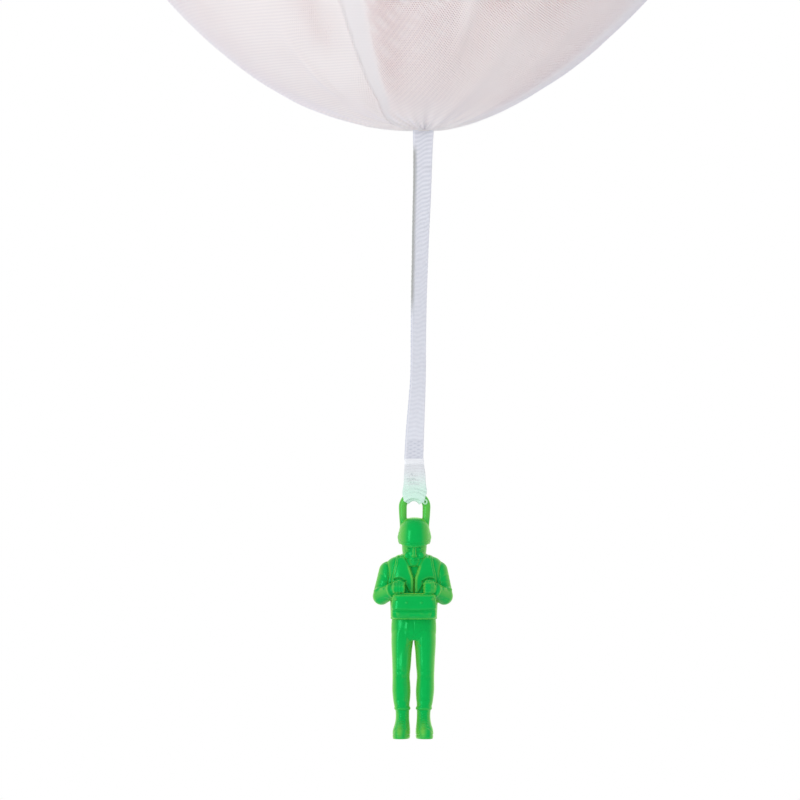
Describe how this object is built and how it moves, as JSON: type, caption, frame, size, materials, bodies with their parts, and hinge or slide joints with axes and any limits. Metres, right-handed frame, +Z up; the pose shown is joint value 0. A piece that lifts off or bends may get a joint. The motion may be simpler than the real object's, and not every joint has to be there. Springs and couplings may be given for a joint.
{
  "type": "toy parachute",
  "caption": "Tangle-free toy parachute: nylon dome, net skirt instead of strings, woven tape and a moulded plastic parachutist.",
  "frame": {"origin": "centre of the canopy's crown patch, on its flat top", "axes": "+Z up along the canopy's axis, +X to the parachutist's left, -Y the way the parachutist faces"},
  "size_m": [0.2962, 0.2962, 0.4841],
  "materials": {
    "canopy_nylon": "thin coral-red ripstop nylon with a slight sheen",
    "binding_tape": "folded coral binding tape, matt",
    "skirt_net": "soft white tulle net, see-through",
    "woven_tape": "white woven polyester tape with fine cross ribs",
    "figure_plastic": "bright green moulded plastic, glossy"
  },
  "bodies": {
    "canopy": {"crown_patch": "canopy_nylon", "canopy_gore_1": "canopy_nylon", "canopy_gore_2": "canopy_nylon", "canopy_gore_3": "canopy_nylon", "canopy_gore_4": "canopy_nylon", "canopy_gore_5": "canopy_nylon", "canopy_gore_6": "canopy_nylon", "canopy_gore_7": "canopy_nylon", "canopy_gore_8": "canopy_nylon", "rim_binding": "binding_tape", "net_panel_1": "skirt_net", "net_panel_2": "skirt_net", "net_panel_3": "skirt_net", "net_panel_4": "skirt_net"},
    "gather": {"net_gather": "skirt_net"},
    "ribbon": {"ribbon": "woven_tape"},
    "ribbon_end": {"ribbon_fold": "woven_tape"},
    "figure": {"parachutist": "figure_plastic"}
  },
  "joints": [
    {"name": "gather_turn", "type": "hinge", "parent": "canopy", "child": "gather", "pos_m": [0.0071, 0, -0.2151], "axis": [0, 0, 1], "range_deg": [-90, 90]},
    {"name": "ribbon_swing", "type": "hinge", "parent": "gather", "child": "ribbon", "pos_m": [0.0071, 0, -0.2162], "axis": [1, 0, 0], "range_deg": [-60, 60]},
    {"name": "ribbon_twist", "type": "hinge", "parent": "ribbon", "child": "ribbon_end", "pos_m": [0.003, 0, -0.3612], "axis": [0, 0, 1], "range_deg": [-120, 120]},
    {"name": "figure_rock", "type": "hinge", "parent": "ribbon_end", "child": "figure", "pos_m": [0.003, 0, -0.3767], "axis": [1, 0, 0], "range_deg": [-20, 20]}
  ]
}
